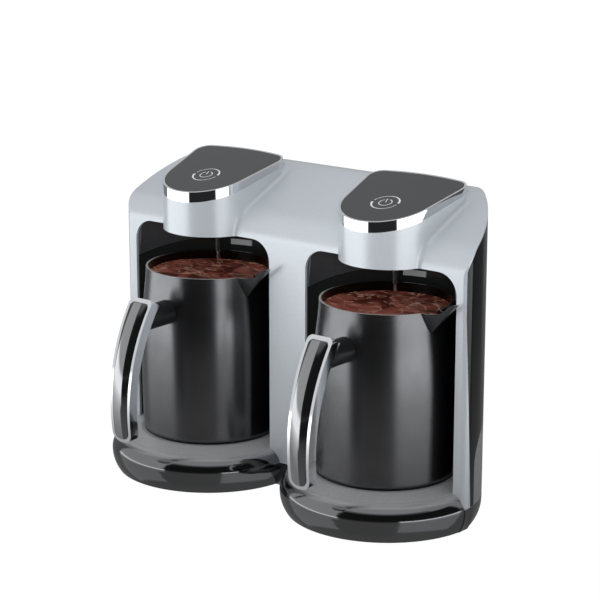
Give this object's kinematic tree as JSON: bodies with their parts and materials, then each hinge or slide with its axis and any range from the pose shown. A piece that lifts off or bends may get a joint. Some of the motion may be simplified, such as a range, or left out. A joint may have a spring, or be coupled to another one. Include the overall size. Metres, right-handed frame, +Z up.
{
  "type": "electric turkish coffee maker",
  "caption": "Countertop coffee maker for Turkish coffee: lift-out pots with long handles stand in niches under sloping heads with round power keys, on round heated bases.",
  "frame": {"origin": "on the floor plane, under the middle of the bounding box", "axes": "+Z up; +X towards the right-hand station, seen from the front; -Y to the front, where the handles point"},
  "size_m": [0.241, 0.1308, 0.1824],
  "materials": {
    "silver_casing": "metallic silver lacquer",
    "black_housing": "gloss black",
    "grey_skirt": "fine matt grain",
    "smoke_base": "dark metallised, glossy",
    "bottom_black": "matt grain",
    "foot_rubber": "matt",
    "screw_steel": "zinc plated",
    "gland_black": "matt",
    "board_green": "solder mask",
    "relay_black": "moulded",
    "liner_black": "high gloss black",
    "hood_grey": "satin",
    "ring_smoke": "dark metallised, glossy",
    "plate_coated": "dark non-stick coating",
    "heater_steel": "heat-tinted",
    "thermostat_body": "phenolic",
    "probe_sleeve": "satin",
    "probe_steel": "polished",
    "window_grey": "smoked clear",
    "panel_gloss": "gloss dark grey",
    "band_chrome": "polished",
    "ring_light": "diffusing white",
    "key_gloss": "gloss dark grey",
    "switch_black": "moulded",
    "pot_black": "satin black coating on steel",
    "arm_black": "satin",
    "handle_chrome": "polished",
    "grip_inlay": "high gloss"
  },
  "bodies": {
    "housing": {"front_fascia": "silver_casing", "rear_housing": "black_housing", "rear_skirt": "grey_skirt", "base_shell": "smoke_base", "bottom_plate": "bottom_black", "feet": "foot_rubber", "bottom_screws": "screw_steel", "cord_gland": "gland_black", "power_board": "board_green", "power_relays": "relay_black", "niche_liner_left": "liner_black", "niche_hood_left": "hood_grey", "head_cover_left": "hood_grey", "base_ring_left": "ring_smoke", "hot_plate_left": "plate_coated", "heating_element_left": "heater_steel", "plate_thermostat_left": "thermostat_body", "probe_holder_left": "probe_sleeve", "probe_rod_left": "probe_steel", "sensor_window_left": "window_grey", "top_panel_left": "panel_gloss", "panel_band_left": "band_chrome", "light_ring_left": "ring_light", "key_switch_left": "switch_black", "control_board_left": "board_green", "niche_liner_right": "liner_black", "niche_hood_right": "hood_grey", "head_cover_right": "hood_grey", "base_ring_right": "ring_smoke", "hot_plate_right": "plate_coated", "heating_element_right": "heater_steel", "plate_thermostat_right": "thermostat_body", "probe_holder_right": "probe_sleeve", "probe_rod_right": "probe_steel", "sensor_window_right": "window_grey", "top_panel_right": "panel_gloss", "panel_band_right": "band_chrome", "light_ring_right": "ring_light", "key_switch_right": "switch_black", "control_board_right": "board_green"},
    "pot_left": {"pot_vessel_left": "pot_black", "handle_arm_left": "arm_black", "handle_frame_left": "handle_chrome", "handle_grip_left": "grip_inlay", "handle_screw_left": "screw_steel"},
    "power_key_left": {"power_key_left": "key_gloss"},
    "pot_right": {"pot_vessel_right": "pot_black", "handle_arm_right": "arm_black", "handle_frame_right": "handle_chrome", "handle_grip_right": "grip_inlay", "handle_screw_right": "screw_steel"},
    "power_key_right": {"power_key_right": "key_gloss"}
  },
  "joints": [
    {"name": "pot_left_slide", "type": "slide", "parent": "housing", "child": "pot_left", "axis": [0, -0.9994, 0.0349], "range_m": [0, 0.11]},
    {"name": "power_key_left_press", "type": "slide", "parent": "housing", "child": "power_key_left", "axis": [0, 0.2538, -0.9673], "range_m": [0, 0.0008], "stiffness_N_per_m": 400, "springref_m": -0.0005},
    {"name": "pot_right_slide", "type": "slide", "parent": "housing", "child": "pot_right", "axis": [0, -0.9994, 0.0349], "range_m": [0, 0.11]},
    {"name": "power_key_right_press", "type": "slide", "parent": "housing", "child": "power_key_right", "axis": [0, 0.2538, -0.9673], "range_m": [0, 0.0008], "stiffness_N_per_m": 400, "springref_m": -0.0005}
  ]
}
